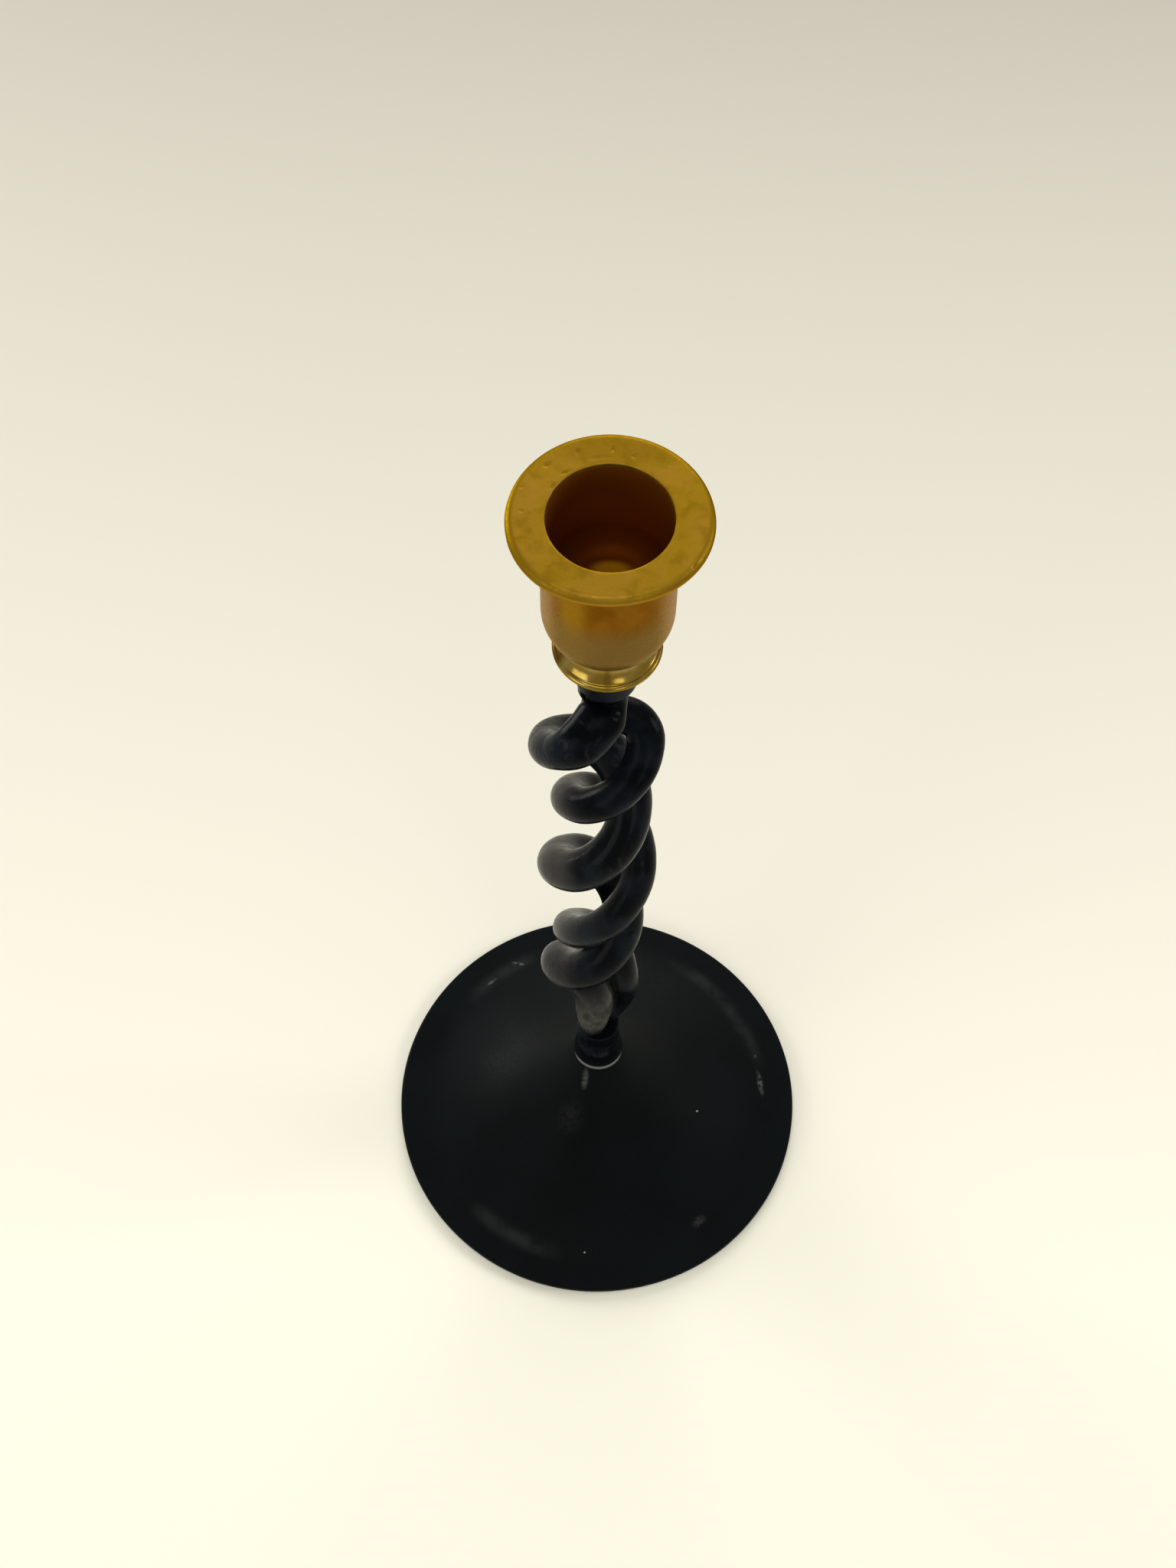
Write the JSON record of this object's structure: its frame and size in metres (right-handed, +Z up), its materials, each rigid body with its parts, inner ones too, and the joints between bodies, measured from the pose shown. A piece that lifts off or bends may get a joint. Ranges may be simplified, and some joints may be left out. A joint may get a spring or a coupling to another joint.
{
  "type": "candle holder",
  "caption": "Table candle holder with a trumpet foot, an open twisted stem of two rods and a gold-coloured cup with a flat lip for a taper candle.",
  "frame": {"origin": "on the holder's axis at table height, the underside of the felt ring", "axes": "+Z up along the axis to the candle, -Y towards the viewer of the picture, +X to the viewer's right"},
  "size_m": [0.1064, 0.1064, 0.2749],
  "materials": {
    "matt_black": "matt black powder coat, slightly dusty",
    "satin_black": "satin black lacquer over bent rod",
    "satin_gold": "satin gold-coloured metal, rubbed and lightly pitted",
    "polished_gold": "polished gold-coloured metal",
    "zinc_steel": "bright zinc plating",
    "felt": "pressed wool felt"
  },
  "bodies": {
    "root": {"base_shell": "matt_black", "base_felt": "felt", "base_screw": "zinc_steel", "base_washer": "zinc_steel", "foot_boss": "satin_black", "strand_a": "satin_black", "strand_b": "satin_black", "neck_boss": "satin_black", "cup_stud": "zinc_steel", "cup_foot": "polished_gold", "candle_cup": "satin_gold"}
  },
  "joints": []
}
